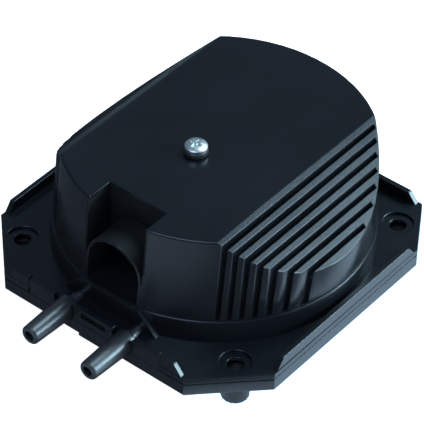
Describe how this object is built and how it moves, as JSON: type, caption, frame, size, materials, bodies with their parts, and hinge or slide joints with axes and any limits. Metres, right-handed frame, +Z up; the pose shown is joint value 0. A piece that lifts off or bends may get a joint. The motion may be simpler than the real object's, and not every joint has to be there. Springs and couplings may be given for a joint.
{
  "type": "aquarium air pump",
  "caption": "Vibrating-arm diaphragm air pump in a black finned round housing on an octagonal flange, with parallel hose nozzles and open corner holes.",
  "frame": {"origin": "centre of the bounding box's underside, on the plane the feet stand on", "axes": "-Y is the nozzle side, +X is to the right seen from that side, +Z is up"},
  "size_m": [0.122, 0.1376, 0.0601],
  "materials": {
    "housing_plastic": "black moulded plastic, satin with a fine texture",
    "base_plastic": "black moulded plastic, satin",
    "nozzle_plastic": "black moulded plastic, semi-gloss",
    "black_rubber": "black rubber, matt",
    "zinc_steel": "zinc-plated steel, bright",
    "core_steel": "stacked electrical steel sheets",
    "copper_wire": null,
    "bobbin_plastic": "off-white nylon",
    "head_plastic": "dark grey moulded plastic",
    "arm_plastic": "grey moulded plastic",
    "ferrite": null,
    "flap_rubber": "red-brown silicone rubber",
    "filter_felt": "off-white felt"
  },
  "bodies": {
    "housing": {"base_plate": "base_plastic", "cable_grommet": "black_rubber", "clamp_ring_left": "head_plastic", "clamp_ring_right": "head_plastic", "coil_bobbin": "bobbin_plastic", "coil_winding": "copper_wire", "core_screw_left": "zinc_steel", "core_screw_right": "zinc_steel", "cover_screw": "zinc_steel", "cover_washer": "black_rubber", "diaphragm_left": "black_rubber", "diaphragm_right": "black_rubber", "filter_cover": "base_plastic", "filter_felt": "filter_felt", "flange_gasket": "black_rubber", "hose_nozzle_left": "nozzle_plastic", "hose_nozzle_right": "nozzle_plastic", "magnet_core": "core_steel", "outlet_sleeve_left": "black_rubber", "outlet_sleeve_right": "black_rubber", "pivot_clip_left": "zinc_steel", "pivot_clip_right": "zinc_steel", "pivot_pin_left": "zinc_steel", "pivot_pin_right": "zinc_steel", "pump_head_left": "head_plastic", "pump_head_right": "head_plastic", "rubber_foot_back_left": "black_rubber", "rubber_foot_back_right": "black_rubber", "rubber_foot_front_left": "black_rubber", "rubber_foot_front_right": "black_rubber", "upper_housing": "housing_plastic", "valve_box_left": "head_plastic", "valve_box_right": "head_plastic", "valve_box_screw_left": "zinc_steel", "valve_box_screw_right": "zinc_steel"},
    "arm_left": {"swing_arm_left": "arm_plastic", "arm_magnet_left": "ferrite", "diaphragm_disc_left": "zinc_steel", "diaphragm_screw_left": "zinc_steel"},
    "inlet_valve_left": {"inlet_flap_left": "flap_rubber"},
    "outlet_valve_left": {"outlet_flap_left": "flap_rubber"},
    "arm_right": {"swing_arm_right": "arm_plastic", "arm_magnet_right": "ferrite", "diaphragm_disc_right": "zinc_steel", "diaphragm_screw_right": "zinc_steel"},
    "inlet_valve_right": {"inlet_flap_right": "flap_rubber"},
    "outlet_valve_right": {"outlet_flap_right": "flap_rubber"}
  },
  "joints": [
    {"name": "arm_left_swing", "type": "hinge", "parent": "housing", "child": "arm_left", "pos_m": [-0.0308, -0.02058, 0.028], "axis": [0, 0, 1], "range_deg": [-2, 2], "stiffness_Nm_per_rad": 0.8, "deforming": ["diaphragm_left"]},
    {"name": "arm_right_swing", "type": "hinge", "parent": "housing", "child": "arm_right", "pos_m": [0.0308, -0.02058, 0.028], "axis": [0, 0, 1], "range_deg": [-2, 2], "stiffness_Nm_per_rad": 0.8, "deforming": ["diaphragm_right"]},
    {"name": "inlet_left_flap", "type": "hinge", "parent": "housing", "child": "inlet_valve_left", "pos_m": [-0.0204, -0.00198, 0.028], "axis": [0, 0, 1], "range_deg": [0, 15], "stiffness_Nm_per_rad": 0.0002},
    {"name": "outlet_left_flap", "type": "hinge", "parent": "housing", "child": "outlet_valve_left", "pos_m": [-0.0162, -0.00518, 0.028], "axis": [0, 0, 1], "range_deg": [0, 15], "stiffness_Nm_per_rad": 0.0002},
    {"name": "inlet_right_flap", "type": "hinge", "parent": "housing", "child": "inlet_valve_right", "pos_m": [0.0204, -0.00198, 0.028], "axis": [0, 0, -1], "range_deg": [0, 15], "stiffness_Nm_per_rad": 0.0002},
    {"name": "outlet_right_flap", "type": "hinge", "parent": "housing", "child": "outlet_valve_right", "pos_m": [0.0162, -0.00518, 0.028], "axis": [0, 0, -1], "range_deg": [0, 15], "stiffness_Nm_per_rad": 0.0002}
  ],
  "couplings": [
    {"joint": "arm_right_swing", "follows": "arm_left_swing", "ratio": -1}
  ]
}
